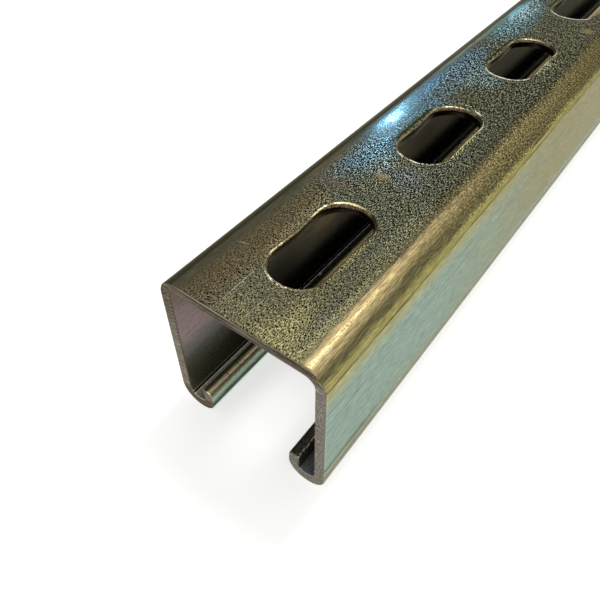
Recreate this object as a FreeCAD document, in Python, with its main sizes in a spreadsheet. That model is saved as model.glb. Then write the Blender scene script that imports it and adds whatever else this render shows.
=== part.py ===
import FreeCAD, Part
import enum
import math
import os
import Sketcher

# Slotted strut channel: one roll-formed steel strip, lipped C section, a row of punched slots in the web.
# Frame: X across the channel, Y along it with the middle of the length at 0, Z up from the lip bends
# that it rests on, so the slotted web is on top.

# Driving dimensions, in millimetres
SIZES = {
    "stock_length": 304.8,      # sawn length of the piece
    "section_width": 41.275,    # outside, wall to wall
    "section_height": 41.275,   # outside, lip bends to web
    "strip_wall": 2.66,         # thickness of the rolled strip
    "web_bend": 4.75,           # outside radius between web and wall
    "lip_bend": 4.5,            # outside radius of the two bends of each lip
    "lip_width": 9.525,         # outside, wall face to the lip's mouth face
    "lip_rise": 7.9,            # underside of the lip bends to the sheared edge of the lip
    "lip_edge_roll": 0.85,      # rounding of that edge on the mouth side, left by the shear
    "slot_width": 13.1,         # clear through the web
    "slot_length": 27.8,        # clear, end to end, round ends
    "slot_pitch": 50.8,
    "first_slot": 27.0,         # centre of the first slot from the near sawn end
    "slot_margin": 4.0,         # least metal left past the last slot
    "rim_roll": 0.75,           # where the punch drew the web's outer face down into the slot
}

ROLL_SHARE = 0.9                # most of the wall that a rounding takes up
VOLUME_SLACK = 1.0              # mm3 that the punched volume may be off

doc = FreeCAD.newDocument("strut_channel")

sheet = doc.addObject("Spreadsheet::Sheet", "sizes")
for row, (alias, value) in enumerate(SIZES.items(), start=1):
    sheet.set(f"A{row}", alias)
    sheet.set(f"B{row}", str(value))
    sheet.setAlias(f"B{row}", alias)
doc.recompute()


def size(alias):
    return float(getattr(sheet, alias))


def plane(body, role):
    return next(item for item in body.Origin.OriginFeatures if item.Role == role)


def vector(first, second):
    return FreeCAD.Vector(first, second, 0)


def new_sketch(body, name, role):
    sketch = body.newObject("Sketcher::SketchObject", name)
    sketch.AttachmentSupport = [(plane(body, role), "")]
    sketch.MapMode = "FlatFace"
    return sketch


def circle(centre, radius):
    return Part.Circle(centre, FreeCAD.Vector(0, 0, 1), radius)


def quarter_arc(centre, radius, quadrant):
    # One quadrant anticlockwise, counted from 0 between +X and +Y
    start = quadrant * math.pi / 2
    return Part.ArcOfCircle(circle(centre, radius), start, start + math.pi / 2)


def bind(sketch, kind, references, value, expression, name):
    index = sketch.addConstraint(Sketcher.Constraint(kind, *references, value))
    sketch.renameConstraint(index, name)
    sketch.setExpression(f"Constraints.{name}", expression)


def within_wall(alias):
    # A rounding that a thinner strip still has room for
    return f"min(sizes.{alias}; sizes.strip_wall * {ROLL_SHARE})"


class At(enum.IntEnum):
    # Which point of a line or arc a constraint takes
    START = 1
    END = 2
    CENTRE = 3


class Axis(enum.IntEnum):
    # A sketch's own axes, as constraints number them
    HORIZONTAL = -1
    VERTICAL = -2


ORIGIN_POINT = (Axis.HORIZONTAL, At.START)


def draw_half_section(sketch):
    # The half on +X, from the middle of the web round to the sheared edge of the lip and back inside.
    half = size("section_width") / 2
    top = size("section_height")
    wall = size("strip_wall")
    bend = size("web_bend")
    curl = size("lip_bend")
    mouth = half - size("lip_width")
    rise = size("lip_rise")
    roll = size("lip_edge_roll")

    web_centre = vector(half - bend, top - bend)
    foot_centre = vector(half - curl, curl)
    lip_centre = vector(mouth + curl, curl)

    def line(x1, z1, x2, z2):
        return sketch.addGeometry(Part.LineSegment(vector(x1, z1), vector(x2, z2)), False)

    def quarter(centre, radius, quadrant):
        return sketch.addGeometry(quarter_arc(centre, radius, quadrant), False)

    web_outer = line(0, top, half - bend, top)
    web_bend_outer = quarter(web_centre, bend, 0)
    wall_outer = line(half, top - bend, half, curl)
    foot_outer = quarter(foot_centre, curl, 3)
    sole_outer = line(half - curl, 0, mouth + curl, 0)
    curl_outer = quarter(lip_centre, curl, 2)
    lip_outer = line(mouth, curl, mouth, rise - roll)
    lip_roll = quarter(vector(mouth + roll, rise - roll), roll, 1)
    lip_edge = line(mouth + roll, rise, mouth + wall, rise)
    lip_inner = line(mouth + wall, rise, mouth + wall, curl)
    curl_inner = quarter(lip_centre, curl - wall, 2)
    sole_inner = line(mouth + curl, wall, half - curl, wall)
    foot_inner = quarter(foot_centre, curl - wall, 3)
    wall_inner = line(half - wall, curl, half - wall, top - bend)
    web_bend_inner = quarter(web_centre, bend - wall, 0)
    web_inner = line(half - bend, top - wall, 0, top - wall)
    middle = line(0, top - wall, 0, top)

    def constrain(kind, *references):
        sketch.addConstraint(Sketcher.Constraint(kind, *references))

    # Smooth joints between the flats and the bends: line's point, then the arc's point
    for flat, flat_point, curve, curve_point in (
        (web_outer, At.END, web_bend_outer, At.END),
        (wall_outer, At.START, web_bend_outer, At.START),
        (wall_outer, At.END, foot_outer, At.END),
        (sole_outer, At.START, foot_outer, At.START),
        (sole_outer, At.END, curl_outer, At.END),
        (lip_outer, At.START, curl_outer, At.START),
        (lip_outer, At.END, lip_roll, At.END),
        (lip_edge, At.START, lip_roll, At.START),
        (lip_inner, At.END, curl_inner, At.START),
        (sole_inner, At.START, curl_inner, At.END),
        (sole_inner, At.END, foot_inner, At.START),
        (wall_inner, At.START, foot_inner, At.END),
        (wall_inner, At.END, web_bend_inner, At.START),
        (web_inner, At.START, web_bend_inner, At.END),
    ):
        constrain("Tangent", flat, flat_point, curve, curve_point)
    # Square corners inside the lip's edge and at the middle of the web
    for first, second in ((lip_edge, lip_inner), (web_inner, middle), (middle, web_outer)):
        constrain("Coincident", first, At.END, second, At.START)
    for flat in (web_outer, web_inner, sole_outer, sole_inner, lip_edge):
        constrain("Horizontal", flat)
    for flat in (wall_outer, wall_inner, lip_outer, lip_inner, middle):
        constrain("Vertical", flat)
    # One thickness all round: each bend's inside and outside share a centre
    for outer, inner in ((web_bend_outer, web_bend_inner), (foot_outer, foot_inner), (curl_outer, curl_inner)):
        constrain("Coincident", outer, At.CENTRE, inner, At.CENTRE)
    constrain("PointOnObject", middle, At.START, Axis.VERTICAL)
    constrain("Equal", foot_outer, curl_outer)

    bind(sketch, "DistanceX", (*ORIGIN_POINT, wall_outer, At.START), half,
         "sizes.section_width / 2", "half_width")
    bind(sketch, "DistanceY", (*ORIGIN_POINT, web_outer, At.START), top, "sizes.section_height", "height")
    bind(sketch, "DistanceY", (middle, At.START, middle, At.END), wall, "sizes.strip_wall", "wall")
    bind(sketch, "Radius", (web_bend_outer,), bend, "sizes.web_bend", "web_bend")
    bind(sketch, "Radius", (foot_outer,), curl, "sizes.lip_bend", "lip_bend")
    bind(sketch, "DistanceX", (lip_outer, At.START, wall_outer, At.END), half - mouth,
         "sizes.lip_width", "lip_width")
    bind(sketch, "DistanceY", (*ORIGIN_POINT, lip_edge, At.START), rise, "sizes.lip_rise", "lip_rise")
    bind(sketch, "Radius", (lip_roll,), roll, within_wall("lip_edge_roll"), "lip_roll")
    constrain("PointOnObject", sole_outer, At.START, Axis.HORIZONTAL)


def draw_slot(sketch):
    # One slot, long way along the channel, seen on the web's outer face
    radius = size("slot_width") / 2
    reach = (size("slot_length") - size("slot_width")) / 2
    centre = size("first_slot") - size("stock_length") / 2

    far_end = sketch.addGeometry(
        Part.ArcOfCircle(circle(vector(0, centre + reach), radius), 0, math.pi), False)
    left = sketch.addGeometry(
        Part.LineSegment(vector(-radius, centre + reach), vector(-radius, centre - reach)), False)
    near_end = sketch.addGeometry(
        Part.ArcOfCircle(circle(vector(0, centre - reach), radius), math.pi, 2 * math.pi), False)
    right = sketch.addGeometry(
        Part.LineSegment(vector(radius, centre - reach), vector(radius, centre + reach)), False)

    def constrain(kind, *references):
        sketch.addConstraint(Sketcher.Constraint(kind, *references))

    constrain("Tangent", left, At.START, far_end, At.END)
    constrain("Tangent", left, At.END, near_end, At.START)
    constrain("Tangent", right, At.START, near_end, At.END)
    constrain("Tangent", right, At.END, far_end, At.START)
    constrain("Equal", near_end, far_end)
    constrain("PointOnObject", near_end, At.CENTRE, Axis.VERTICAL)
    constrain("Vertical", left)
    bind(sketch, "Radius", (near_end,), radius, "sizes.slot_width / 2", "end_radius")
    bind(sketch, "DistanceY", (near_end, At.CENTRE, far_end, At.CENTRE), 2 * reach,
         "sizes.slot_length - sizes.slot_width", "end_centres")
    bind(sketch, "DistanceY", (near_end, At.CENTRE, *ORIGIN_POINT), reach - centre,
         "sizes.stock_length / 2 - sizes.first_slot + (sizes.slot_length - sizes.slot_width) / 2", "near_end_place")


def rim_edges(shape):
    # The edges of the slots on the web's outer face
    top = size("section_height")
    reach = size("slot_width") / 2
    near = 0.01
    names = []
    for number, edge in enumerate(shape.Edges, start=1):
        box = edge.BoundBox
        level = abs(box.ZMin - top) < near and abs(box.ZMax - top) < near
        if level and max(-box.XMin, box.XMax) < reach + near:
            names.append(f"Edge{number}")
    return names


body = doc.addObject("PartDesign::Body", "strut_channel")
body.Label = "strut_channel"

section = new_sketch(body, "half_section", "XZ_Plane")
draw_half_section(section)
doc.recompute()

half_channel = body.newObject("PartDesign::Pad", "half_channel")
half_channel.Profile = section
half_channel.setExpression("Length", "sizes.stock_length")
half_channel.Midplane = True
doc.recompute()

channel = body.newObject("PartDesign::Mirrored", "channel")
channel.Originals = [half_channel]
channel.MirrorPlane = (plane(body, "YZ_Plane"), [""])
channel.Refine = True
body.Tip = channel
doc.recompute()
plain_volume = body.Shape.Volume

slot = new_sketch(body, "slot", "XY_Plane")
slot.setExpression("AttachmentOffset.Base.z", "sizes.section_height")
doc.recompute()
draw_slot(slot)
doc.recompute()

punched = body.newObject("PartDesign::Pocket", "punched")
punched.Profile = slot
punched.setExpression("Length", "sizes.strip_wall * 2")
body.Tip = punched
doc.recompute()
slot_volume = plain_volume - body.Shape.Volume

slot_row = body.newObject("PartDesign::LinearPattern", "slot_row")
slot_row.Originals = [punched]
slot_row.Direction = (plane(body, "Y_Axis"), [""])
slot_count = ("floor((sizes.stock_length - sizes.first_slot - sizes.slot_length / 2 - sizes.slot_margin)"
              " / sizes.slot_pitch) + 1")
slot_row.setExpression("Occurrences", slot_count)
slot_row.setExpression("Length", f"sizes.slot_pitch * ({slot_count} - 1)")
body.Tip = slot_row
doc.recompute()

rims = body.newObject("PartDesign::Fillet", "rims")
rims.Base = (slot_row, rim_edges(slot_row.Shape))
rims.setExpression("Radius", within_wall("rim_roll"))
body.Tip = rims
doc.recompute()

# What the finished channel has to be
for item in doc.Objects:
    if "Invalid" in item.State or "Error" in item.State:
        raise RuntimeError(f"{item.Name} failed: {item.State}")
shape = body.Shape
if shape.isNull() or not shape.isValid() or len(shape.Solids) != 1:
    raise RuntimeError("the channel is not one valid solid")

straight = size("slot_length") - size("slot_width")
punch_area = math.pi * size("slot_width") ** 2 / 4 + size("slot_width") * straight
if abs(slot_volume - punch_area * size("strip_wall")) > VOLUME_SLACK:
    raise RuntimeError("the slot doesn't go through the web, or reaches past it")

print("slots:", slot_row.Occurrences, " volume mm3:", round(shape.Volume), " box:", shape.BoundBox)

os.makedirs("parts", exist_ok=True)
shape.exportStep(f"parts/{body.Label}.step")
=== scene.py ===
import math

import bpy
import numpy as np
from mathutils import Matrix, Vector


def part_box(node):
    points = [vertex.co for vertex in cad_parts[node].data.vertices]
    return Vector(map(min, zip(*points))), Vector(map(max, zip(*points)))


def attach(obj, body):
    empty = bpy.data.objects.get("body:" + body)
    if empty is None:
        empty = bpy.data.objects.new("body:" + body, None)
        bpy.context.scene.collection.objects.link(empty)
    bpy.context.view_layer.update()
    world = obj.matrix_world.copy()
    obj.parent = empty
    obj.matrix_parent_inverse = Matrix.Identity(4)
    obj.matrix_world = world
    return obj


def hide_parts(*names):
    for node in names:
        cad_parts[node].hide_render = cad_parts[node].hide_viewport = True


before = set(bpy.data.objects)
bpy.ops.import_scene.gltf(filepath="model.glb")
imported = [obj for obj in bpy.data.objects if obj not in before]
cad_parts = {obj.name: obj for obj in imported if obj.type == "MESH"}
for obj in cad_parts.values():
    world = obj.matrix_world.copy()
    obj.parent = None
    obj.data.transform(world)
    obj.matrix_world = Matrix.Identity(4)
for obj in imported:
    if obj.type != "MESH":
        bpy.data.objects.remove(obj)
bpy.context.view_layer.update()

mm = 0.001

# The channel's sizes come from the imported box; the rest are the rolled section's own, in millimetres
low, high = (np.array(corner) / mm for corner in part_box("strut_channel"))
channel = {
    "width": high[0] - low[0],
    "height": high[2] - low[2],
    "length": high[1] - low[1],
    "wall": 2.66,
    "webBend": 5.1,        # outside radius between web and side wall
    "footBend": 5.0,       # outside radius between side wall and foot
    "lipBend": 4.5,        # and between foot and lip
    "lipWidth": {1: 9.6, -1: 9.9},     # the right lip and the left, as the rolls left them
    "lipRise": {1: 7.8, -1: 7.7},
    "lipEdge": {1: 1.0, -1: 1.25},     # rounding of the sheared edge on the mouth side
    "lipLean": {1: 0.45, -1: 0.35},    # how far each lip's top leans away from the mouth
    "edgeRun": 1.4,        # height at the lip's top that belongs to the sheared edge
    "innerEdge": 0.2,      # rounding of that edge on the inner side
    "slotWidth": 13.1,
    "slotLength": 27.8,
    "slotPitch": 50.8,
    "firstSlot": 27.0,     # from the near sawn end
    "slots": 6,
    "rimRoll": 0.75,       # how far the punch drew the outer face in, across and down
    "rimShape": (0.62, 0.5, 0.22),     # share of that on the long sides, more at the shoulders and the ends
    "pinch": 0.38,         # how far the left long side of a slot bows in at its middle
    "rightPinch": 0.3,     # share of that on the right
    "dish": 0.16,          # how far the web sinks round a slot
    "dishReach": 1.1,      # and how far out from the rim
    "tear": [              # the slot's wall below its rim: share of the strip's depth, and how far out
        (0.5, 0.0), (0.56, 0.06), (0.75, 0.16), (0.95, 0.22), (1.0, 0.3),
    ],
    "sawnEdge": 0.14,      # worn corner round the sawn ends
    "rowsPerSlot": 44,     # stations along the channel from one slot to the next
    "webColumns": 22,
    "webRings": 13,        # rings of web round a slot, from its bay's rectangle to the rim
}
finishes = ("outside", "inside", "sheared", "punched", "sawn")     # in the order of the channel's materials


def gridFaces(rows, columns, closed):
    # Quads of a grid of points stored row by row; closed joins the last column to the first
    a = np.arange(rows * columns).reshape(rows, columns)
    if closed:
        a = np.concatenate([a, a[:, :1]], axis=1)
    return np.stack([a[:-1, :-1], a[:-1, 1:], a[1:, 1:], a[1:, :-1]], axis=-1).reshape(-1, 4)


def leant(c, side, line, inner):
    # A lip's line moved away from the mouth by lean * t^power, t running from the foot to the sheared edge;
    # the inner face leaves the foot sooner than the outer one
    floor, power = (c["wall"], 0.7) if inner else (0, 2)
    t = np.clip((line[:, 1] - floor) / (c["lipRise"][side] - floor), 0, 1)
    return line + np.column_stack([c["lipLean"][side] * t ** power, np.zeros(len(line))])


def halfSection(c, side):
    # One half of the rolled strip, from the edge of the flat web to the sheared edge of the lip.
    # Flats are straight runs, bends are quarter circles whose inside and outside share a centre:
    # point = centre + radius * (cos, sin), with the inside radius smaller by the wall.
    half, top = c["width"] / 2, c["height"]
    bend, foot, curl, wall = c["webBend"], c["footBend"], c["lipBend"], c["wall"]
    mouth = half - c["lipWidth"][side]

    def quarter(centre, radius, start, count):
        angle = np.radians(np.linspace(start, start - 90, count + 1))
        ray = np.stack([np.cos(angle), np.sin(angle)], axis=1)
        return np.array(centre) + radius * ray, np.array(centre) + (radius - wall) * ray

    def flat(first, last, inward, count):
        t = np.linspace(0, 1, count + 1)[:, None]
        outside = np.array(first) * (1 - t) + np.array(last) * t
        return outside, outside + wall * np.array(inward)

    runs = [
        quarter((half - bend, top - bend), bend, 90, 12),
        flat((half, top - bend), (half, foot), (-1, 0), 14),
        quarter((half - foot, foot), foot, 0, 10),
        flat((half - foot, 0), (mouth + curl, 0), (0, 1), 1),
        quarter((mouth + curl, curl), curl, 270, 10),
        flat((mouth, curl), (mouth, c["lipRise"][side] - c["edgeRun"]), (1, 0), 2),
    ]
    runs[4:] = [(leant(c, side, run[0], False), leant(c, side, run[1], True)) for run in runs[4:]]
    outside = np.concatenate([run[0] if i == 0 else run[0][1:] for i, run in enumerate(runs)])
    inside = np.concatenate([run[1] if i == 0 else run[1][1:] for i, run in enumerate(runs)])
    return outside, inside


def shearedEdge(c, side):
    # The lip's top edge, from its mouth face over to its inner face: a rounded corner on the mouth side,
    # where the shear drew the strip down, and a nearly square one inside.
    mouth = c["width"] / 2 - c["lipWidth"][side]
    rise, wall, drawn = c["lipRise"][side], c["wall"], c["lipEdge"][side]
    inner = c["innerEdge"]
    base = rise - c["edgeRun"]
    a = np.radians(np.linspace(180, 90, 9))
    first = np.stack([mouth + drawn + drawn * np.cos(a), rise - drawn + drawn * np.sin(a)], axis=1)
    b = np.radians(np.linspace(90, 0, 4))
    last = np.stack([mouth + wall - inner + inner * np.cos(b), rise - inner + inner * np.sin(b)], axis=1)
    first = np.concatenate([[(mouth, base)], first])
    last = np.concatenate([last, [(mouth + wall, base)]])
    return np.concatenate([leant(c, side, first, False), leant(c, side, last, True)])


def slotRing(c, rows, columns):
    # Round one slot, as a closed line of points: for each, its place on the bay's rectangle,
    # and the angle and centre that put it on the slot: centre + radius * (cos, sin).
    x = c["width"] / 2 - c["webBend"]
    share = (rows - rows[0]) / (rows[-1] - rows[0])
    radius = c["slotWidth"] / 2
    straight = c["slotLength"] - c["slotWidth"]
    corner = math.pi / 4
    run = share * (straight + 2 * radius * corner)
    turn = np.clip(run / radius, 0, corner) - corner + np.clip((run - straight) / radius - corner, 0, corner)
    slide = np.clip(run - radius * corner, 0, straight) - straight / 2
    across = np.linspace(x, -x, columns + 1)
    sweep = np.linspace(corner, math.pi - corner, columns + 1)
    ends = np.full(columns + 1, straight / 2)
    n = len(rows)
    px = np.concatenate([np.full(n - 1, x), across[:-1], np.full(n - 1, -x), -across[:-1]])
    py = np.concatenate([rows[:-1], np.full(columns, rows[-1]), rows[:0:-1], np.full(columns, rows[0])])
    angle = np.concatenate([turn[:-1], sweep[:-1], math.pi - turn[:0:-1], math.pi + sweep[:-1]])
    centre = np.concatenate([slide[:-1], ends[:-1], slide[:0:-1], -ends[:-1]])
    return px, py, angle, centre


def runLength(line):
    # How far each point of a line lies along it from its first point
    return np.concatenate([[0], np.cumsum(np.linalg.norm(np.diff(line, axis=0), axis=1))])


def buildChannel(c):
    half, top, wall = c["width"] / 2, c["height"], c["wall"]
    near, far = -c["length"] / 2, c["length"] / 2
    centres = near + c["firstSlot"] + c["slotPitch"] * np.arange(c["slots"])
    margin = c["sawnEdge"] * np.array([0, 1, 2.2, 5])   # close stations that hold the sawn corner
    cuts = np.concatenate([[near + margin[-1]], (centres[1:] + centres[:-1]) / 2, [far - margin[-1]]])
    bays = [np.linspace(cuts[i], cuts[i + 1], c["rowsPerSlot"] + 1) for i in range(c["slots"])]
    rows = np.concatenate([near + margin] + [bay[1:] for bay in bays] + [far - margin[-2::-1]])
    # How far each station's skin is drawn in, to round the sawn corner
    edgeIn = c["sawnEdge"] * np.clip(1 - np.minimum(rows - near, far - rows) / c["sawnEdge"], 0, 1)

    halves = {}
    points, faces, kinds, flats = [], [], [], []
    total = 0

    def add(grid, kind, facing, across, closed=False):
        # grid is rows by columns by 3, in millimetres; kind is the finish of its faces; facing is roughly
        # the way that one of them looks, the first of a closed grid and else the middle one; across is
        # the distance over the strip from the web's middle
        nonlocal total
        f = gridFaces(grid.shape[0], grid.shape[1], closed) + total
        r, k = (0, 0) if closed else (grid.shape[0] // 2 - 1, grid.shape[1] // 2 - 1)
        down, along = grid[r + 1, k] - grid[r, k], grid[r, k + 1] - grid[r, k]
        faces.append(f if np.dot(np.cross(along, down), facing) > 0 else f[:, ::-1])
        kinds.append(np.full(len(f), finishes.index(kind)))
        points.append(grid.reshape(-1, 3))
        flats.append(np.broadcast_to(across, grid.shape[:2]).reshape(-1))
        total += grid.shape[0] * grid.shape[1]

    def carried(profile, drawn, side):
        # A profile line of (x, z) carried along the channel; drawn moves each station's skin inwards
        line = profile[None] + edgeIn[:, None, None] * drawn[None]
        y = np.broadcast_to(rows[:, None], line.shape[:2])
        return np.stack([side * line[..., 0], y, line[..., 1]], axis=-1)

    webEdge = half - c["webBend"]
    for side in (1, -1):
        outside, inside = halfSection(c, side)
        edge = shearedEdge(c, side)
        toInside = (inside - outside) / wall
        over = webEdge + runLength(outside)
        edgeOver = over[-1] + runLength(edge)
        mid = (edge[0] + edge[-1]) / 2
        edgeDrawn = (mid - edge) / np.linalg.norm(mid - edge, axis=1)[:, None]
        edgeDrawn[0], edgeDrawn[-1] = toInside[-1], -toInside[-1]
        halves[side] = outside, inside, toInside, edge, edgeDrawn
        add(carried(outside, toInside, side), "outside", (side, 0, 0), across=side * over)
        add(carried(inside, -toInside, side), "inside", (-side, 0, 0), across=side * over)
        add(carried(edge, edgeDrawn, side), "sheared", (-side, 0, 1), across=side * edgeOver)

    # The web, one bay to a slot: outer face, rolled-over rim, the slot's wall and the inner face in one skin
    for bay, stations in zip(centres, bays):
        px, py, angle, slide = slotRing(c, stations, c["webColumns"])
        reach = (c["slotLength"] - c["slotWidth"]) / 2
        # The long sides bow in by pinch * cos^2, and the rim is widest where they meet the round ends
        middle = np.cos(np.clip(slide / reach, -1, 1) * math.pi / 2) ** 2
        flank = np.abs(np.cos(angle)) ** 6
        pinch = c["pinch"] * middle * flank * np.where(np.cos(angle) < 0, 1.0, c["rightPinch"])
        shoulder = np.abs(np.sin(2 * angle)) * (1 - middle)
        plain, more, ends = c["rimShape"]
        rim = c["rimRoll"] * (plain + more * shoulder + ends * np.abs(np.sin(angle)))
        radius = c["slotWidth"] / 2 - pinch

        def slotLine(out):
            x, y = (radius + out) * np.cos(angle), (radius + out) * np.sin(angle)
            return np.stack([x, bay + slide + y], axis=1)

        rectangle = np.stack([px, py], axis=1)
        skin = []
        rings = c["webRings"]
        for t in np.linspace(0, 1, rings) ** 0.75:
            xy = rectangle * (1 - t) + slotLine(rim) * t
            away = np.linalg.norm(xy - slotLine(rim), axis=1)
            skin.append(np.column_stack([xy, top - c["dish"] * np.exp(-(away / c["dishReach"]) ** 2)]))
        for a in np.radians(np.linspace(0, 90, 8))[1:]:
            xy = slotLine(rim * (1 - math.sin(a)))
            skin.append(np.column_stack([xy, top - c["dish"] - rim * (1 - math.cos(a))]))
        for down, out in c["tear"]:
            xy = slotLine(out)
            skin.append(np.column_stack([xy, np.full(len(xy), top - wall * down)]))
        floor = len(skin)
        lowest = slotLine(c["tear"][-1][1])
        for t in np.linspace(0, 1, 7)[1:]:
            xy = lowest * (1 - t) + rectangle * t
            skin.append(np.column_stack([xy, np.full(len(xy), top - wall)]))
        skin = np.array(skin)
        for part, kind, up in ((skin[:rings], "outside", 1), (skin[rings - 1:floor], "punched", 1),
                               (skin[floor - 1:], "inside", -1)):
            add(part, kind, (0, 0, up), across=part[:, :, 0], closed=True)

    # The sawn ends: strips across the thickness, over the web and down each half
    steps = len(halves[1][3])
    webX = np.linspace(webEdge, -webEdge, c["webColumns"] + 1)
    draw = c["sawnEdge"]
    for y, inward in ((near, 1), (far, -1)):
        # A narrow margin of web between the sawn edge and the first slot's bay, above and below
        stations = y + inward * margin
        x, yy = np.meshgrid(webX, stations)
        lift = np.broadcast_to(draw * (stations == y)[:, None], x.shape)
        add(np.stack([x, yy, top - lift], -1), "outside", (0, 0, 1), across=x)
        add(np.stack([x, yy, top - wall + lift], -1), "inside", (0, 0, -1), across=x)

        def sawnStrip(first, last, count, side=1):
            # Across the cut, from one line of (x, z) to another; gives the strip's last step
            t = np.linspace(0, 1, count)[None, :, None]
            cap = first[:, None] * (1 - t) + last[:, None] * t
            grid = np.stack([side * cap[..., 0], np.full(cap.shape[:2], y), cap[..., 1]], -1)
            add(grid, "sawn", (0, -inward, 0), across=side * cap[..., 0])
            return cap[-1]

        upper, lower = (np.stack([webX, np.full_like(webX, z)], 1) for z in (top - draw, top - wall + draw))
        sawnStrip(upper, lower, steps)
        for side, (outside, inside, toInside, edge, edgeDrawn) in halves.items():
            base = sawnStrip(outside + draw * toInside, inside - draw * toInside, steps, side)
            # The lip's top, a fan of strips from its straight base up to the sheared edge
            sawnStrip(base, edge + draw * edgeDrawn, 3, side)

    return tuple(np.concatenate(parts) for parts in (points, faces, kinds, flats))


def weld(points, faces, kinds, flats):
    # Points that share a place become one, and faces that lose their area go
    nearness = 1e-4    # millimetres
    keys = np.round(points / nearness).astype(np.int64)
    _, first, back = np.unique(keys, axis=0, return_index=True, return_inverse=True)
    back = back.reshape(-1)
    faces = back[faces]
    ordered = np.sort(faces, axis=1)
    distinct = 1 + (np.diff(ordered, axis=1) > 0).sum(axis=1)
    keep = distinct >= 3
    return points[first], faces[keep], kinds[keep], flats[first]


def makeMesh(name, points, faces, kinds, flats):
    listed = [list(dict.fromkeys(face)) for face in faces.tolist()]
    mesh = bpy.data.meshes.new(name)
    mesh.from_pydata((points * mm).tolist(), [], listed)
    mesh.update()
    mesh.polygons.foreach_set("material_index", kinds.astype(np.int32))
    mesh.polygons.foreach_set("use_smooth", np.ones(len(listed), bool))
    strip = mesh.attributes.new("across", "FLOAT", "POINT")
    strip.data.foreach_set("value", (flats * mm).astype(np.float32))
    return mesh


points, faces, kinds, flats = weld(*buildChannel(channel))
mesh = makeMesh("slotted_channel", points, faces, kinds, flats)
slottedChannel = bpy.data.objects.new("slotted_channel", mesh)
bpy.context.scene.collection.objects.link(slottedChannel)
openEdges = int((np.bincount([loop.edge_index for loop in mesh.loops]) != 2).sum())
print("channel:", len(mesh.vertices), "points,", len(mesh.polygons), "faces, open edges", openEdges)


def linear(code):
    # An sRGB hex colour as the linear colour that shaders take
    parts = [int(code[i:i + 2], 16) / 255 for i in (1, 3, 5)]
    return [v / 12.92 if v <= 0.04045 else ((v + 0.055) / 1.055) ** 2.4 for v in parts] + [1]


def addNode(tree, kind, settings=None, links=None):
    # Settings name a node's own properties or its inputs; links feed its inputs from other nodes' outputs
    node = tree.nodes.new(kind)
    for key, value in (settings or {}).items():
        if isinstance(key, str) and hasattr(node, key):
            setattr(node, key, value)
        else:
            node.inputs[key].default_value = value
    for key, source in (links or {}).items():
        tree.links.new(source, node.inputs[key])
    return node


def newMaterial(name):
    material = bpy.data.materials.new(name)
    material.use_nodes = True
    material.node_tree.nodes.clear()
    return material, material.node_tree


def maths(tree, operation, *values, kind="ShaderNodeMath", output=0):
    # One step of arithmetic; each value is a constant or another node's output
    fixed = {i: v for i, v in enumerate(values) if isinstance(v, (int, float, tuple))}
    fed = {i: v for i, v in enumerate(values) if i not in fixed}
    return addNode(tree, kind, {"operation": operation, **fixed}, fed).outputs[output]


def vectorMaths(tree, operation, *values, output=0):
    return maths(tree, operation, *values, kind="ShaderNodeVectorMath", output=output)


def product(tree, first, second):
    return maths(tree, "MULTIPLY", first, second)


def parted(tree, where):
    # The x, y and z of a place
    return addNode(tree, "ShaderNodeSeparateXYZ", links={0: where}).outputs


def placed(tree, *parts):
    # A place from its x and y
    return addNode(tree, "ShaderNodeCombineXYZ", links=dict(enumerate(parts))).outputs[0]


def spread(tree, value, first, last, low=0.0, high=1.0, shape="LINEAR"):
    # The value's run from first to last stretched to low to high, and held there beyond
    return addNode(tree, "ShaderNodeMapRange", {"interpolation_type": shape, "From Min": first,
                   "From Max": last, "To Min": low, "To Max": high}, {"Value": value}).outputs[0]


def ramp(tree, value, first, last, low=0.0, high=1.0):
    return spread(tree, value, first, last, low, high, "SMOOTHSTEP")


def solidPlace(tree):
    # Where a point of the channel lies, in millimetres, y from the near end
    place = addNode(tree, "ShaderNodeTexCoord").outputs["Object"]
    return vectorMaths(tree, "MULTIPLY_ADD", place, (1 / mm,) * 3, (0, channel["length"] / 2, 0))


def flatPlace(tree, solid):
    # Where it lies on the strip laid flat, in millimetres: over it from the web's middle, and along it
    strip = addNode(tree, "ShaderNodeAttribute", {"attribute_name": "across"}).outputs["Fac"]
    return placed(tree, maths(tree, "MULTIPLY", strip, 1 / mm), parted(tree, solid)[1])


def loosened(tree, flat, loosen):
    # The flat place nudged by noise, by up to half of loosen either way, so that stains wander
    stretch = vectorMaths(tree, "MULTIPLY", flat, (0.22, 0.05, 1))
    drift = addNode(tree, "ShaderNodeTexNoise", {"Scale": 1.0, "Detail": 4.0, "Roughness": 0.65},
                    {"Vector": stretch}).outputs["Color"]
    nudge = vectorMaths(tree, "MULTIPLY_ADD", drift, loosen, tuple(-v / 2 for v in loosen))
    return vectorMaths(tree, "ADD", flat, nudge)


def softBand(tree, where, first, last, soft, bothSides=True):
    # 1 on the strip from first to last over it, fading to 0 across soft; the same on the other half if asked
    over = parted(tree, where)[0]
    if bothSides:
        over = maths(tree, "ABSOLUTE", over)
    away = maths(tree, "ABSOLUTE", maths(tree, "SUBTRACT", over, (first + last) / 2))
    half = (last - first) / 2
    return ramp(tree, away, half + soft, half)


def softPatch(tree, where, centre, reach, core=0.2, turn=0.0):
    # 1 in the core of an ellipse round centre, turned by so many degrees, fading to 0 at its edge
    own = addNode(tree, "ShaderNodeMapping", {"vector_type": "TEXTURE", "Location": (*centre, 0),
                  "Rotation": (0, 0, math.radians(turn)), "Scale": (*reach, 1)}, {"Vector": where}).outputs[0]
    return ramp(tree, vectorMaths(tree, "LENGTH", own, output="Value"), 1.0, core)


def slotPlace(tree, solid, c):
    # The place in millimetres from the middle of the nearest slot, the same for every slot
    x, y, _ = parted(tree, solid)
    half = c["slotPitch"] / 2
    wrapped = maths(tree, "WRAP", y, c["firstSlot"] + half, c["firstSlot"] - half)
    return placed(tree, x, maths(tree, "SUBTRACT", wrapped, c["firstSlot"]))


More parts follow.
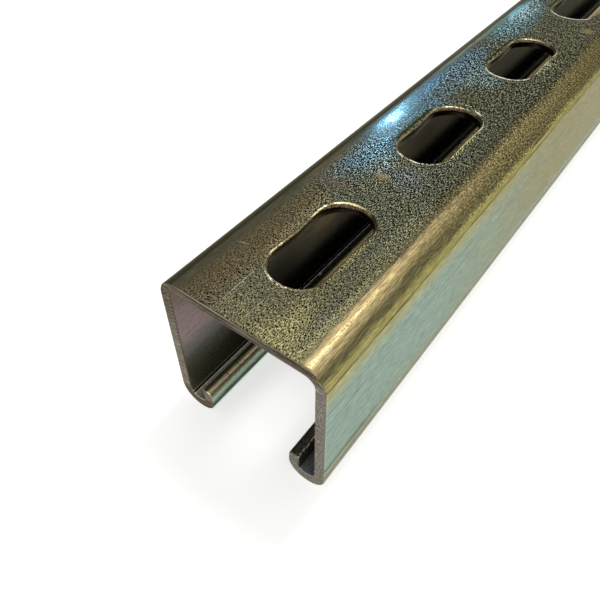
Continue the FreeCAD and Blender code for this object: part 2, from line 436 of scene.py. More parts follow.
def slotDistance(tree, own, c):
    # How far in millimetres a point lies from the slot's middle line, as the x of a place:
    # length(x, max(|y| - straight / 2, 0))
    x, y, _ = parted(tree, own)
    past = maths(tree, "SUBTRACT", maths(tree, "ABSOLUTE", y), (c["slotLength"] - c["slotWidth"]) / 2)
    spot = placed(tree, x, maths(tree, "MAXIMUM", past, 0.0))
    return placed(tree, vectorMaths(tree, "LENGTH", spot, output="Value"))


def grain(tree, where, perMm, low, high, detail, seed):
    # Noise of so many cells to the millimetre each way, cut to 0..1 between low and high:
    # a narrow cut makes it into separate pits and grains
    scaled = vectorMaths(tree, "MULTIPLY_ADD", where, perMm, (seed,) * 3)
    noise = addNode(tree, "ShaderNodeTexNoise", {"Scale": 1.0, "Detail": detail, "Roughness": 0.6},
                    {"Vector": scaled}).outputs["Fac"]
    return spread(tree, noise, low, high)


def mixed(tree, share, first, second):
    # From the first number to the second by share; each is a constant or another node's output
    values = {2: first, 3: second}
    fixed = {i: v for i, v in values.items() if isinstance(v, float)}
    fed = {i: v for i, v in values.items() if i not in fixed}
    return addNode(tree, "ShaderNodeMix", {"data_type": "FLOAT", **fixed}, {0: share, **fed}).outputs[0]


def tinted(tree, code):
    ground = addNode(tree, "ShaderNodeRGB")
    ground.outputs[0].default_value = linear(code)
    return ground.outputs[0]


def laid(tree, base, mask, code, share=1.0):
    # A tint laid over the base colour where the mask is
    amount = product(tree, mask, share)
    return addNode(tree, "ShaderNodeMix", {"data_type": "RGBA", 7: linear(code)},
                   {0: amount, 6: base}).outputs[2]


def speckled(tree, colour, cells, low, high, reach=None):
    # The colour made darker and lighter by a grain's cells, from low to high times itself; reach limits where
    factor = spread(tree, cells, 0.0, 1.0, low, high)
    if reach is not None:
        factor = mixed(tree, reach, 1.0, factor)
    return addNode(tree, "ShaderNodeVectorMath", {"operation": "SCALE"},
                   {0: colour, "Scale": factor}).outputs[0]


def raised(tree, height, strength, depth):
    return addNode(tree, "ShaderNodeBump", {"Strength": strength, "Distance": depth},
                   {"Height": height}).outputs[0]


def metal(tree, colour, rough, bump=None, metallic=0.9):
    # The metal's shader. The specular tint is what it keeps at a glancing view, so that it stays as dark
    # as it is written
    links = {"Base Color": colour, "Roughness": rough}
    if bump is not None:
        links["Normal"] = bump
    shader = addNode(tree, "ShaderNodeBsdfPrincipled",
                     {"Metallic": metallic, "Specular Tint": linear("#c4c0b4")}, links)
    addNode(tree, "ShaderNodeOutputMaterial", links={"Surface": shader.outputs[0]})


# The zinc coat outside: yellow chromate, thin enough for its colour to turn from bronze through straw and
# sea green to blue, so the eye reads plated steel and not paint. Places are in millimetres over the strip
# from the web's middle, the left half negative, and along it from the near end
# Some of the tints below are painted light and shade, marked where they stand
coat = {
    "wander": (3.0, 26.0, 0),
    "ground": "#47483a",
    "bands": [     # tint, from, to, fading, share, both halves
        # Painted shade darkening the left bend
        ("#2b281a", -21.0, -17.3, 0.5, 0.5, False),
        ("#7d7548", 19.4, 24.0, 1.4, 0.95, True),
        ("#a2b19e", 24.0, 70.0, 1.6, 1.0, True),
        ("#403e2c", 12.3, 14.4, 1.0, 0.75, False),
        # The next two are a painted highlight: the softbox's gold glare on the right bend
        ("#a39067", 15.5, 16.6, 0.9, 0.95, False),
        ("#8f8158", 17.0, 17.8, 1.0, 0.95, False),
        ("#655f40", 18.9, 19.8, 1.1, 0.95, True),
        ("#9b945c", 21.4, 22.2, 1.7, 0.95, True),
        ("#b1b086", 23.5, 24.8, 1.2, 0.95, True),
        ("#abb69b", 25.8, 26.6, 1.3, 0.95, True),
        ("#9bb4ab", 28.8, 49.0, 2.4, 1.0, True),
        ("#aaa796", 54.4, 60.0, 1.0, 0.9, True),
        ("#7f9a80", 64.0, 69.0, 1.5, 0.9, True),
        ("#36454a", 69.3, 70.1, 0.5, 0.95, True),
        ("#6c8f80", 70.6, 71.0, 0.4, 0.95, True),
        ("#a3b298", 71.2, 73.0, 0.3, 1.0, True),
    ],
    "patches": [   # tints that wander, some of them painted light as marked: tint, (over, along), reach either way, turn, core, share
        ("#4c4330", (-11, 10), (6, 50), 0, 0.4, 0.9),
        ("#57523b", (3, 8), (14, 30), 0, 0.3, 0.7),
        ("#55503e", (-15.5, 50), (3, 14), 0, 0.2, 0.7),
        # The next four are the coat's blue tint and painted glare round the left lamp's reflection
        ("#4b6876", (-10, 75), (9, 34), 0, 0.2, 0.9),
        ("#6294ab", (-14.0, 80), (3.4, 18), 0, 0.3, 0.8),
        ("#4e6473", (-12, 113), (9, 22), 0, 0.2, 0.85),
        ("#557a94", (-14.0, 96), (3.4, 15), 0, 0.2, 0.7),
        ("#8f8a64", (0, 2), (9, 9), 0, 0.3, 0.08),
        ("#7a7556", (12.4, 36), (3.2, 20), 0, 0.3, 0.25),
        ("#585c4c", (12.6, 12.5), (2.6, 6), 0, 0.2, 0.5),
        ("#4a5041", (-1.6, 9), (4, 3.5), 0, 0.2, 0.5),
        ("#8f875f", (-8.1, 30), (1.5, 18), 0, 0.3, 0.12),
        ("#5a706c", (-4.5, 60), (3.5, 6), 0, 0.2, 0.6),
        ("#5d7571", (-4, 110), (7, 9), 0, 0.3, 0.6),
        ("#868a68", (7.5, 127), (2.0, 8), 0, 0.3, 0.6),
        # The next two are painted glare, a second reflection farther along the left edge
        ("#58808a", (-13, 152), (9, 26), 0, 0.2, 0.9),
        ("#86bece", (-13.4, 161), (4.5, 13), 0, 0.3, 0.9),
        ("#7c8a78", (-16.4, 130), (1.6, 40), 0, 0.3, 0.7),
        ("#4b5050", (2, 58), (9, 8), 0, 0.2, 0.7),
        # The next three are painted highlight: the softbox's glare and its spill on the right of the web and
        # bend near the near end
        ("#837d56", (9, 0), (8, 16), 0, 0.2, 0.6),
        ("#807a58", (13.9, 4), (1.8, 36), 0, 0.2, 0.6),
        ("#b9a577", (17.8, 0), (1.5, 40), 0, 0.2, 0.6),
        ("#a39a9b", (30.5, 13), (3, 7), 0, 0.2, 0.3),
        ("#66685a", (50.6, 6), (1.2, 17), 0, 0.5, 0.7),
    ],
    # Bands that turn along the channel: tint, share, (from, to, fading, both halves), (begins, whole)
    "fading": [
        ("#a09d74", 1.0, (24.5, 49, 2.5, True), (35, 125)),
        # The next two dim that painted highlight on the right bend farther from the near end
        ("#6a6140", 0.8, (14.5, 18.5, 1.5, False), (15, 80)),
        ("#5f5738", 0.7, (14.5, 18.5, 1.5, False), (100, 140)),
    ],
    # Painted shade darkening the left bend
    "leftBendShade": ("#2f2c1e", 0.85, (-22, -16.7, 0.45, False)),
    "leftFlankShade": ("#4b503c", 0.9),     # round each slot, tint and share: painted shade on the left flank, a painted glow on the right
    "rightFlankGlow": ("#7d744c", 0.45),
    "web": (0, 12.8, 3.2),
    "shoulder": (14.5, 20.5, 1.5, False),
    "calm": [      # where glare hides the grain: (over, along), reach, how much of it
        ((-13.5, 79), (7, 22), 0.75),
        ((-15, 16), (7, 40), 0.5),
    ],
    "grains": [    # where, cells to the millimetre over and along, darkest, lightest, detail, seed, cut
        ("near", (5.4, 1.9, 1), 0.0, 2.45, 2.0, 0.0, (0.48, 0.53)),
        ("middle", (3.8, 1.2, 1), 0.0, 2.1, 1.6, 29.0, (0.465, 0.53)),
        ("far", (2.8, 0.75, 1), 0.0, 2.2, 1.6, 17.0, (0.465, 0.53)),
        ("sides", (4.0, 0.12, 1), 0.72, 1.3, 3.0, 41.0, (0.3, 0.7)),
        ("sides", (3.2, 0.35, 1), 0.8, 1.22, 1.6, 71.0, (0.36, 0.64)),
        ("shoulder", (3.8, 0.35, 1), 0.72, 1.28, 2.0, 53.0, (0.38, 0.62)),
        ("farShoulder", (3.6, 1.2, 1), 0.3, 1.8, 1.2, 37.0, (0.44, 0.57)),
    ],
    # Painted highlights round the slots, and one painted shade line: tint, share, (from, to, fading) off the
    # slot's middle line, the part of the rim by centre, reach and core, where along the channel the line
    # begins and is whole, how it is broken
    "rimHighlightsAndShade": [
        ("#efe5bd", 0.9, (7.1, 7.45, 0.12), (1.0, -14.0), (8.0, 4.5), 0.6, None, "dotted"),
        ("#fffcf2", 1.0, (7.0, 7.6, 0.12), (1.0, -14.0), (8.0, 4.5), 0.6, (50, 62), "dotted"),
        ("#fbf8ea", 1.0, (7.0, 7.75, 0.15), (1.0, -13.5), (8.5, 5), 0.7, (85, 125), "patchy"),
        ("#d3d3b2", 0.7, (6.85, 7.15, 0.12), (7.2, 1.0), (3.2, 15), 0.7, (50, 70), "patchy"),
        ("#c0c6a4", 0.85, (7.1, 7.4, 0.15), (6.0, 10.5), (3.5, 5.5), 0.6, (50, 70), None),
        ("#16150f", 0.8, (7.5, 7.9, 0.3), (-8.0, 0.0), (2.5, 11), 0.7, (50, 70), None),
    ],
    "marks": [     # scratches and stains that stay put, and one painted glint, given as the patches are
        ("#8a7b55", (-2, 53.5), (2.4, 1.9), 20, 0.2, 0.6),
        ("#8c7f54", (9.5, 158), (2.5, 2.5), 0, 0.3, 0.8),
        ("#5f504e", (-10, 45), (6, 2), 8, 0.2, 0.4),
        ("#c4bea3", (-6.0, 8), (0.12, 6.5), 0, 0.5, 0.6),
        ("#aaa48b", (-5.3, 5), (0.1, 4.5), 1, 0.5, 0.5),
        ("#b9b296", (0.4, 4.5), (0.1, 5.0), -1, 0.5, 0.5),
        ("#b0a892", (-13.0, 17.2), (1.5, 0.12), 12, 0.4, 0.6),
        ("#9aa69a", (-8.3, 53.8), (3.2, 0.12), 10, 0.4, 0.6),
        ("#b3ad8b", (11.0, 68.8), (2.8, 0.14), 6, 0.4, 0.7),
        ("#a49d7c", (13.0, 48.7), (0.7, 0.14), 40, 0.4, 0.6),
        # A painted glint, bright cyan, beside the left glare
        ("#d9f1ee", (3.3, 92.2), (2.0, 0.35), -25, 0.3, 0.9),
        ("#4e452c", (20.9, 95.0), (0.35, 9.0), 0, 0.6, 0.8),
        ("#b9a883", (21.7, 95.0), (0.35, 8.0), 0, 0.6, 0.8),
    ],
    # Roll lines along the side walls: place over the strip, half width, share
    "rollLines": [(22.45, 0.08, 0.9), (29.5, 0.1, 0.4), (33.6, 0.1, 0.5), (53.5, 0.18, 0.8)],
    "rollLine": "#3a3620",
    "rough": (0.42, 0.26),     # in the pits and off them
    # Where the left bend glares: (over, along), reach, how rough; the last has no pits
    "polished": [((-12, 76), (10, 27), 0.22), ((-13.8, 79), (4.5, 10), 0.15)],
}


def yellowChromate(c, slots):
    material, tree = newMaterial("yellow_chromate_zinc")
    solid = solidPlace(tree)
    flat = flatPlace(tree, solid)
    loose = loosened(tree, flat, c["wander"])
    along = parted(tree, loose)[1]
    colour = tinted(tree, c["ground"])
    for code, first, last, soft, share, both in c["bands"]:
        colour = laid(tree, colour, softBand(tree, loose, first, last, soft, both), code, share)
    for code, centre, reach, turn, core, share in c["patches"]:
        colour = laid(tree, colour, softPatch(tree, loose, centre, reach, core, turn), code, share)
    for code, share, band, turning in c["fading"]:
        mask = product(tree, softBand(tree, loose, *band), ramp(tree, along, *turning))
        colour = laid(tree, colour, mask, code, share)
    # Painted shade on the left bend
    code, share, band = c["leftBendShade"]
    colour = laid(tree, colour, softBand(tree, flat, *band), code, share)
    # Round each slot the web sinks: painted shade, dull olive, along the left flank, and a painted dull gold
    # glow along the right one
    own = slotPlace(tree, solid, slots)
    flank = product(tree, softPatch(tree, own, (-7.6, 0), (1.5, 12.5), 0.6), ramp(tree, along, 50, 64))
    colour = laid(tree, colour, flank, *c["leftFlankShade"])
    colour = laid(tree, colour, softPatch(tree, own, (7.3, 0), (1.1, 12), 0.3), *c["rightFlankGlow"])
    # Fine pits and grains of the rolled strip, longer along it, deep on the web and faint on the side walls;
    # they coarsen along the channel, so that they show as well far from the eye
    web = softBand(tree, flat, *c["web"])
    grained = web
    for place, reach, hidden in c["calm"]:
        left = maths(tree, "MULTIPLY_ADD", softPatch(tree, flat, place, reach), -hidden, 1.0)
        grained = product(tree, grained, left)
    fromNear = product(tree, ramp(tree, along, 15, 60, 0.3, 1.0), ramp(tree, along, 180, 230, 1.0, 0.6))
    fromMiddle = product(tree, ramp(tree, along, 65, 120, 0.15, 1.0), ramp(tree, along, 170, 220, 1.0, 0.2))
    shoulder = softBand(tree, flat, *c["shoulder"])
    reaches = {
        "near": product(tree, grained, ramp(tree, along, 40, 100, 1.0, 0.6)),
        "middle": product(tree, grained, fromNear),
        "far": product(tree, grained, fromMiddle),
        "sides": maths(tree, "SUBTRACT", 1.0, web),
        "shoulder": shoulder,
        "farShoulder": product(tree, shoulder, ramp(tree, along, 25, 85)),
    }
    cells = {}
    for where, perMm, low, high, detail, seed, cut in c["grains"]:
        cells[where] = grain(tree, flat, perMm, *cut, detail, seed)
        colour = speckled(tree, colour, cells[where], low, high, reaches[where])
    # Painted highlights just outside the rim, dotted at the near slots and whole at the farther
    # ones, and a painted shade line along the left flank
    edge = slotDistance(tree, own, slots)
    patchy = grain(tree, flat, (1.3, 0.8, 1), 0.38, 0.52, 0.8, 5.0)
    broken = {
        "dotted": grain(tree, flat, (1.5, 1.5, 1), 0.46, 0.53, 0.8, 61.0),
        "patchy": ramp(tree, patchy, 0, 1, 0.35, 1.0),
    }
    for code, share, band, centre, reach, core, begins, breaks in c["rimHighlightsAndShade"]:
        line = product(tree, softBand(tree, edge, *band), softPatch(tree, own, centre, reach, core))
        if begins:
            line = product(tree, line, ramp(tree, along, *begins))
        if breaks:
            line = product(tree, line, broken[breaks])
        colour = laid(tree, colour, line, code, share)
    for code, centre, reach, turn, core, share in c["marks"]:
        colour = laid(tree, colour, softPatch(tree, flat, centre, reach, core, turn), code, share)
    # Roll lines along the side walls
    worn = grain(tree, flat, (0.8, 0.06, 1), 0.35, 0.6, 3.0, 88.0)
    for place, width, share in c["rollLines"]:
        line = product(tree, softBand(tree, flat, place - width, place + width, 0.22), worn)
        colour = laid(tree, colour, line, c["rollLine"], share)
    pits = cells["near"]
    rough = spread(tree, pits, 0.0, 1.0, *c["rough"])
    for place, reach, smooth in c["polished"]:
        polish = softPatch(tree, flat, place, reach, 0.3)
        rough = mixed(tree, polish, rough, smooth)
    height = product(tree, product(tree, pits, web), maths(tree, "SUBTRACT", 1.0, polish))
    metal(tree, colour, rough, raised(tree, height, 0.35, 0.03 * mm))
    return material


# Inside, the coat is thin and dull: painted shade, bronze-black, low down and farther in, and painted light,
# a pinkish grey glow, high on the walls near the open end
inside = {
    "wander": (4.0, 10.0, 0),
    "ground": "#585140",
    # Tint, share, whether it wanders, (from, to, fading) over the strip, (gone, whole) along it
    "layers": [
        # The first four layers are painted light falling in at the open end, gone 26 mm in; the last is
        # painted shade, darker farther in
        ("#787461", 1.0, False, (47.5, 60, 2.5), (26, 10)),
        ("#b29e9d", 1.0, True, (24, 41.0, 5.0), (26, 10)),
        ("#a39180", 1.0, True, (16, 25, 3.5), (26, 10)),
        ("#787c78", 0.7, True, (41, 45, 3.0), (26, 10)),
        ("#a3a28c", 1.0, False, (59.5, 76, 0.5), None),
        ("#3b3931", 1.0, False, (48.5, 80, 3), (16, 36)),
    ],
    # Painted highlights, the light lines, and a painted shade line, the dark one, along the lips' grooves:
    # tint, place over the strip, half width
    "grooveHighlightAndShade": [("#c9c6b4", 57.7, 0.12), ("#0a0906", 58.5, 0.2), ("#fffcf2", 59.4, 0.14)],
    "stains": [    # tint, (over, along), reach either way, share; the last is a painted glint
        ("#1f1d15", (-44, 33), (9, 15), 0.8),
        ("#8a7c5c", (-39, 55), (5, 11), 0.7),
        ("#6b463c", (-37, 106), (6, 9), 0.5),
        ("#86714c", (-41, 92), (4, 6), 0.6),
        ("#39332a", (-42, 109), (5, 12), 0.6),
        ("#6a6848", (-42, 150), (8, 22), 0.5),
        ("#7c8050", (-42, 205), (9, 24), 0.6),
        # A painted glint on the left groove
        ("#f6f5ec", (-60.2, 50.0), (0.6, 0.9), 1.0),
    ],
    "rightFloorLight": "#8b9098",
    "rightFace": "#33322b",
    "cutCorner": "#4a4238",
}


def chromateInside(c):
    material, tree = newMaterial("chromate_inside")
    flat = flatPlace(tree, solidPlace(tree))
    loose = loosened(tree, flat, c["wander"])
    along = parted(tree, loose)[1]
    colour = tinted(tree, c["ground"])
    for code, share, wanders, band, fade in c["layers"]:
        mask = softBand(tree, loose if wanders else flat, *band)
        if fade:
            mask = product(tree, mask, ramp(tree, along, *fade))
        colour = laid(tree, colour, mask, code, share)
    fainter = ramp(tree, along, 45, 110, 1.0, 0.25)
    for code, place, width in c["grooveHighlightAndShade"]:
        line = softBand(tree, flat, place - width, place + width, 0.25)
        colour = laid(tree, colour, product(tree, line, fainter), code)
    for code, centre, reach, share in c["stains"]:
        colour = laid(tree, colour, softPatch(tree, flat, centre, reach), code, share)
    # The right lip's groove: painted light, a light bluish grey floor near the open end, and a dark inner
    # face
    rightFloorLight = product(tree, softBand(tree, flat, 58, 66, 1.5, False), ramp(tree, along, 26, 10))
    colour = laid(tree, colour, rightFloorLight, c["rightFloorLight"], 0.9)
    colour = laid(tree, colour, softBand(tree, flat, 67.5, 76, 1.5, False), c["rightFace"], 0.9)
    # Pits low down, then the drawn streaks and a haze over everything
    pits = grain(tree, flat, (3.6, 1.2, 1), 0.34, 0.66, 0.8, 63.0)
    colour = speckled(tree, colour, pits, 0.65, 1.4, softBand(tree, flat, 50, 90, 8))
    colour = speckled(tree, colour, grain(tree, flat, (3.0, 0.1, 1), 0.3, 0.7, 3.0, 19.0), 0.8, 1.2)
    colour = speckled(tree, colour, grain(tree, flat, (2.0, 1.0, 1), 0.3, 0.7, 2.0, 33.0), 0.85, 1.15)
    # The saw left a dark line along the inner edge of the cut
    corner = product(tree, softBand(tree, flat, 10, 54, 1.0), ramp(tree, parted(tree, flat)[1], 0.35, 0.15))
    colour = laid(tree, colour, corner, c["cutCorner"], 0.8)
    metal(tree, colour, spread(tree, pits, 0.0, 1.0, 0.55, 0.4), metallic=0.7)
    return material


# The lip's edge: dull and grainy across the shear, with a painted gold highlight on the left lip's rounded
# mouth-side corner
sheared = {
    "ground": "#a3a28c",
    "rightLip": [("#4a483c", (60, 80, 0.5)), ("#454438", (73.0, 74.5, 0.5))],
    "brightLine": ("#d6d3bd", (75.0, 75.8, 0.35)),
    # The first is a painted gold highlight on that rounded corner
    "leftLip": [("#fff0b4", (-73.95, -73.5, 0.35), 1.0), ("#4a452c", (-75.1, -74.5, 0.25), 0.8)],
    "notch": "#1c190f",
    "notches": (6.7, 10.4, 31.0, 58.0, 91.0),    # along the left lip, from the near end
}


def shearedSteel(c):
    material, tree = newMaterial("sheared_strip_edge")
    flat = flatPlace(tree, solidPlace(tree))
    colour = tinted(tree, c["ground"])
    for code, band in c["rightLip"]:
        colour = laid(tree, colour, softBand(tree, flat, *band, False), code)
    code, band = c["brightLine"]
    bright = grain(tree, flat, (3.2, 1.3, 1), 0.42, 0.6, 0.8, 12.0)
    colour = laid(tree, colour, product(tree, softBand(tree, flat, *band, False), bright), code)
    coarse = grain(tree, flat, (3.4, 1.8, 1), 0.34, 0.66, 0.8, 5.0)
    colour = speckled(tree, colour, coarse, 0.3, 1.85, softBand(tree, flat, 60, 90, 1, False))
    fine = grain(tree, flat, (3.4, 0.9, 1), 0.34, 0.66, 0.8, 5.0)
    colour = speckled(tree, colour, fine, 0.8, 1.2, softBand(tree, flat, -90, -60, 1, False))
    for code, band, share in c["leftLip"]:
        colour = laid(tree, colour, softBand(tree, flat, *band, False), code, share)
    for place in c["notches"]:
        colour = laid(tree, colour, softPatch(tree, flat, (-73.8, place), (0.8, 0.25), 0.4), c["notch"], 0.6)
    metal(tree, colour, spread(tree, fine, 0.0, 1.0, 0.55, 0.38), raised(tree, fine, 0.5, 0.05 * mm))
    return material


# A slot's rim and wall by depth: painted gold highlights on the rim the punch rolled over, a thin grey land,
# then the torn lower part, nearly black, partly painted shade
punched = {
    "ground": "#5f573d",
    "gold": "#e0cf9a",
    "goldHighlights": [     # painted highlights where the rim faces the lamp: place from the slot's middle, reach, share
        ((-2.9, 13.4), (5.4, 3.0), 1.0),
        ((-6.6, 8.0), (1.2, 3.4), 0.8),
        ((-6.7, -6.6), (1.1, 3.2), 0.4),
    ],
    "nearRim": ((0.5, -14.2), (7.0, 2.4), 0.6),      # this and the next two by centre, reach and core
    "paleRim": ((1.0, -13.0), (8.0, 5), 0.7),
    "farRight": ((6.2, 10.5), (4.4, 6.0), 0.6),
    "nearRimTints": ("#2b281c", "#e9deb8"),    # between the dots and on them; the dots here and in the next row are painted glints
    "paleRimTints": ("#5f6653", "#eef5e2"),
    "land": "#5b4f3e",
    "shade": "#1f1a12",
    "torn": [("#0e0c08", (0.95, 1.1)), ("#2b261b", (1.35, 1.6))],    # tint, depths where it begins, is whole; partly painted shade
}


def punchedSteel(c, slots):
    material, tree = newMaterial("punched_slot")
    solid = solidPlace(tree)
    along, height = parted(tree, solid)[1:3]
    depth = maths(tree, "SUBTRACT", slots["height"], height)
    own = slotPlace(tree, solid, slots)
    colour = tinted(tree, c["ground"])
    highlightFade = ramp(tree, along, 40, 75, 1.0, 0.4)
    for centre, reach, share in c["goldHighlights"]:
        spot = product(tree, softPatch(tree, own, centre, reach, 0.4), highlightFade)
        colour = laid(tree, colour, spot, c["gold"], share)
    dotted = grain(tree, solid, (1.5, 1.5, 1.5), 0.47, 0.54, 0.8, 6.0)
    nearRim = softPatch(tree, own, *c["nearRim"])
    between, dots = c["nearRimTints"]
    colour = laid(tree, colour, product(tree, nearRim, ramp(tree, along, 50, 62)), between, 0.8)
    colour = laid(tree, colour, product(tree, nearRim, dotted), dots, 0.7)
    # The land below the rim, in shade at the far right
    colour = laid(tree, colour, ramp(tree, depth, 0.22, 0.38), c["land"])
    shaded = product(tree, softPatch(tree, own, *c["farRight"]), ramp(tree, depth, 0.15, 0.2))
    colour = laid(tree, colour, shaded, c["shade"], 0.9)
    # On the farther slots the near rim and the right one show a thin pale line, a painted highlight
    pale = product(tree, softPatch(tree, own, *c["paleRim"]), ramp(tree, along, 85, 125))
    pale = product(tree, pale, ramp(tree, depth, 0.75, 0.45))
    between, dots = c["paleRimTints"]
    colour = laid(tree, colour, pale, between, 0.8)
    colour = laid(tree, colour, product(tree, pale, dotted), dots)
    for code, begins in c["torn"]:
        colour = laid(tree, colour, ramp(tree, depth, *begins), code)
    pits = grain(tree, solid, (2.4, 2.4, 2.4), 0.38, 0.62, 3.0, 9.0)
    colour = speckled(tree, colour, pits, 0.3, 1.9)
    metal(tree, colour, spread(tree, pits, 0.0, 1.0, 0.4, 0.26))
    return material


# Bare steel from the saw: warm grey, matte, with fine marks straight across and rust at the left lip
sawn = {
    "ground": "#8a8378",
    "web": "#716859",
    "leftWall": "#857d6e",
    "leftWallTop": "#6e6253",
    "score": "#211b14",
    "paleScore": "#a69d8c",
    "toothPitch": 1.15,    # of the ticks along the left wall's inner edge
    "toothTints": ("#2a2219", "#b9b1a0"),
    "toothPatch": ((-18.2, 28), (0.9, 13), 0.4),
    "foot": "#575143",
    "rust": "#6d4430",
    "marks": [     # nicks and burrs, and one painted highlight: tint, (x, z), reach either way, turn
        ("#28221a", (-9.0, 40.45), (9.5, 0.26), 0),
        ("#b3aa97", (-8.0, 40.95), (10.0, 0.2), 0),
        ("#2b251d", (-5.0, 39.3), (12.0, 0.24), 0.5),
        ("#2d261d", (7.5, 40.1), (8.0, 0.26), -0.8),
        ("#a1988a", (3.0, 39.75), (8.0, 0.18), 0),
        ("#2b251d", (12.5, 40.6), (4.5, 0.22), -1.5),
        ("#1d1813", (-20.0, 37.6), (1.1, 0.32), 0),
        ("#1d1813", (-19.7, 36.6), (0.9, 0.26), 0),
        ("#d9d3c4", (18.7, 36.6), (0.9, 0.14), -38),
        ("#2a241c", (19.0, 36.2), (0.9, 0.12), -38),
        # A painted highlight along the burr of the right bend's outer edge, with a dark line beside it
        ("#d5cda9", (18.9, 39.0), (1.3, 0.12), -45),
        ("#2b261c", (18.6, 38.8), (1.3, 0.12), -45),
        ("#b9b2a6", (19.6, 29.6), (0.8, 0.1), -20),
        ("#2a211a", (-15.2, 2.2), (1.1, 0.3), 10),
        ("#2f2a20", (-12.9, 6.9), (0.5, 0.3), 0),
        ("#8c4a2c", (-15.0, 2.9), (0.7, 0.5), 0),
    ],
}


def sawnSteel(c, top):
    material, tree = newMaterial("sawn_steel")
    solid = solidPlace(tree)
    x, _, z = parted(tree, solid)
    face = placed(tree, x, z)
    web = ramp(tree, z, top - 3.4, top - 2.5)
    left = ramp(tree, x, -14.0, -18.0)
    colour = tinted(tree, c["ground"])
    colour = laid(tree, colour, left, c["leftWall"])
    colour = laid(tree, colour, product(tree, left, ramp(tree, z, 20, 34)), c["leftWallTop"])
    colour = laid(tree, colour, web, c["web"])
    marks = grain(tree, solid, (0.35, 0.35, 4.0), 0.36, 0.64, 2.0, 3.0)
    colour = speckled(tree, colour, marks, 0.5, 1.5)
    colour = speckled(tree, colour, grain(tree, solid, (2.6, 2.6, 2.6), 0.36, 0.64, 1.5, 8.0), 0.55, 1.5)
    # Long dark scores of the saw in the web, and light ones between
    scores = grain(tree, solid, (0.04, 0.04, 2.2), 0.49, 0.6, 2.0, 51.0)
    colour = laid(tree, colour, product(tree, web, scores), c["score"], 0.9)
    pale = grain(tree, solid, (0.06, 0.06, 3.0), 0.56, 0.66, 1.0, 91.0)
    colour = laid(tree, colour, product(tree, web, pale), c["paleScore"], 0.6)
    # The saw's teeth left a comb of fine ticks along the left wall's inner edge
    comb = maths(tree, "SINE", maths(tree, "MULTIPLY", z, 2 * math.pi / c["toothPitch"]))
    ticked = softPatch(tree, face, *c["toothPatch"])
    cut, burr = c["toothTints"]
    colour = laid(tree, colour, product(tree, ticked, ramp(tree, comb, 0.1, -0.3)), cut, 0.7)
    colour = laid(tree, colour, product(tree, ticked, ramp(tree, comb, 0.4, 0.8)), burr, 0.6)
    foot = product(tree, ramp(tree, x, -9.0, -12.0), ramp(tree, z, 6.0, 3.0))
    rust = product(tree, foot, grain(tree, solid, (0.9, 0.9, 0.9), 0.45, 0.58, 2.0, 77.0))
    colour = laid(tree, colour, foot, c["foot"], 0.7)
    colour = laid(tree, colour, rust, c["rust"], 0.6)
    for code, centre, reach, turn in c["marks"]:
        colour = laid(tree, colour, softPatch(tree, face, centre, reach, 0.4, turn), code, 0.85)
    rough = spread(tree, marks, 0.0, 1.0, 0.62, 0.48)
    metal(tree, colour, rough, raised(tree, marks, 0.5, 0.04 * mm), 0.8)
    return material


for material in (yellowChromate(coat, channel), chromateInside(inside), shearedSteel(sheared),
                 punchedSteel(punched, channel), sawnSteel(sawn, channel["height"])):
    mesh.materials.append(material)
print("materials:", len(mesh.materials))

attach(slottedChannel, "root")
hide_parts("strut_channel")

studio = {
    "floorReach": 6.0,
    "floorCode": "#f4f4f2",
    "glow": 0.62,          # what the floor adds for the camera, so that it comes out white
    "fill": 0.45,          # the world's strength as light
    "lamps": [             # name, place, aim, size, watts, the way that the first side runs
        ("strip_softbox", (-0.008, 0.17, 0.66), (0.016, -0.15, 0.041), (0.1, 0.22), 1.0, (1, 0, 0)),
        ("left_lamp", (-0.308, 0.473, 0.433), (-0.0145, -0.074, 0.041), (0.05, 0.008), 0.07,
         (-0.0113, 0.0317, -0.0292)),
    ],
}


def seenStraight(tree):
    # 1 for what the camera sees directly, in metal or through glass, and 0 for what only gives light
    rays = addNode(tree, "ShaderNodeLightPath").outputs
    seen = maths(tree, "MAXIMUM", rays["Is Camera Ray"], rays["Is Glossy Ray"])
    return maths(tree, "MAXIMUM", seen, rays["Is Transmission Ray"])


def buildFloor(s):
    reach = s["floorReach"]
    grid = np.array([(-reach, -reach, 0), (reach, -reach, 0), (reach, reach, 0), (-reach, reach, 0)])
    floorMesh = bpy.data.meshes.new("studio_floor")
    floorMesh.from_pydata(grid.tolist(), [], [(0, 1, 2, 3)])
    floor = bpy.data.objects.new("studio_floor", floorMesh)
    bpy.context.scene.collection.objects.link(floor)
    material, tree = newMaterial("pale_floor")
    strength = product(tree, seenStraight(tree), s["glow"])
    glow = addNode(tree, "ShaderNodeEmission", {"Color": linear("#ffffff")}, {"Strength": strength})
    matte = addNode(tree, "ShaderNodeBsdfDiffuse", {"Color": linear(s["floorCode"])})
    both = addNode(tree, "ShaderNodeAddShader", links={0: glow.outputs[0], 1: matte.outputs[0]})
    addNode(tree, "ShaderNodeOutputMaterial", links={"Surface": both.outputs[0]})
    floorMesh.materials.append(material)


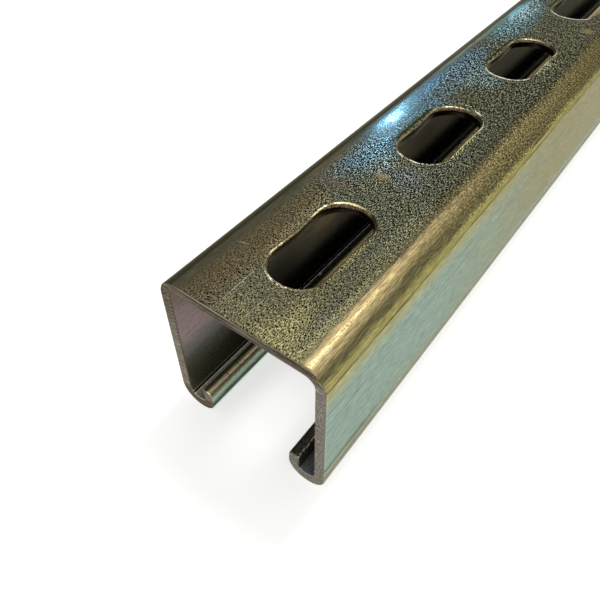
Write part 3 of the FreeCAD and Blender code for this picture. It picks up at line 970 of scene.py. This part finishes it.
def buildWorld(s):
    # White where it is seen directly or in the metal, and a soft grey fill as light
    world = bpy.data.worlds.new("studio_air")
    world.use_nodes = True
    tree = world.node_tree
    tree.nodes.clear()
    strength = spread(tree, seenStraight(tree), 0.0, 1.0, s["fill"], 1.0)
    sky = addNode(tree, "ShaderNodeBackground", {"Color": linear("#ffffff")}, {"Strength": strength})
    addNode(tree, "ShaderNodeOutputWorld", links={"Surface": sky.outputs[0]})
    bpy.context.scene.world = world


def areaLamp(name, place, aim, size, watts, along):
    # place, aim and size in metres
    data = bpy.data.lights.new(name, "AREA")
    data.shape, data.size, data.size_y, data.energy = "RECTANGLE", size[0], size[1], watts
    lamp = bpy.data.objects.new(name, data)
    bpy.context.scene.collection.objects.link(lamp)
    back = (Vector(place) - Vector(aim)).normalized()
    run = Vector(along)
    run = (run - run.dot(back) * back).normalized()
    lamp.matrix_world = Matrix.Translation(place) @ Matrix((run, back.cross(run), back)).transposed().to_4x4()


buildFloor(studio)
buildWorld(studio)
for lamp in studio["lamps"]:
    areaLamp(*lamp)
print("studio:", len(studio["lamps"]), "lamps")

camera = {
    "place": (52.90, -200.80, 126.13),    # millimetres, in the channel's frame
    "aim": (0.27, -133.43, 41.275),
    "roll": -0.833,                       # degrees
    "lens": 36.513,
    "film": 36.0,
    "shift": -0.0583,                     # the photo's centre lies a little below the lens's axis
}


def buildCamera(c):
    data = bpy.data.cameras.new("camera")
    data.sensor_width, data.lens = c["film"], c["lens"]
    data.shift_y = c["shift"]
    data.clip_start, data.clip_end = 0.005, 20
    eye = bpy.data.objects.new("camera", data)
    bpy.context.scene.collection.objects.link(eye)
    place, aim = Vector(c["place"]) * mm, Vector(c["aim"]) * mm
    roll = Matrix.Rotation(math.radians(c["roll"]), 3, "Z")
    turn = (aim - place).to_track_quat("-Z", "Y").to_matrix() @ roll
    eye.location, eye.rotation_euler = place, turn.to_euler()
    bpy.context.scene.camera = eye


buildCamera(camera)
bpy.context.scene.view_settings.view_transform = "Standard"
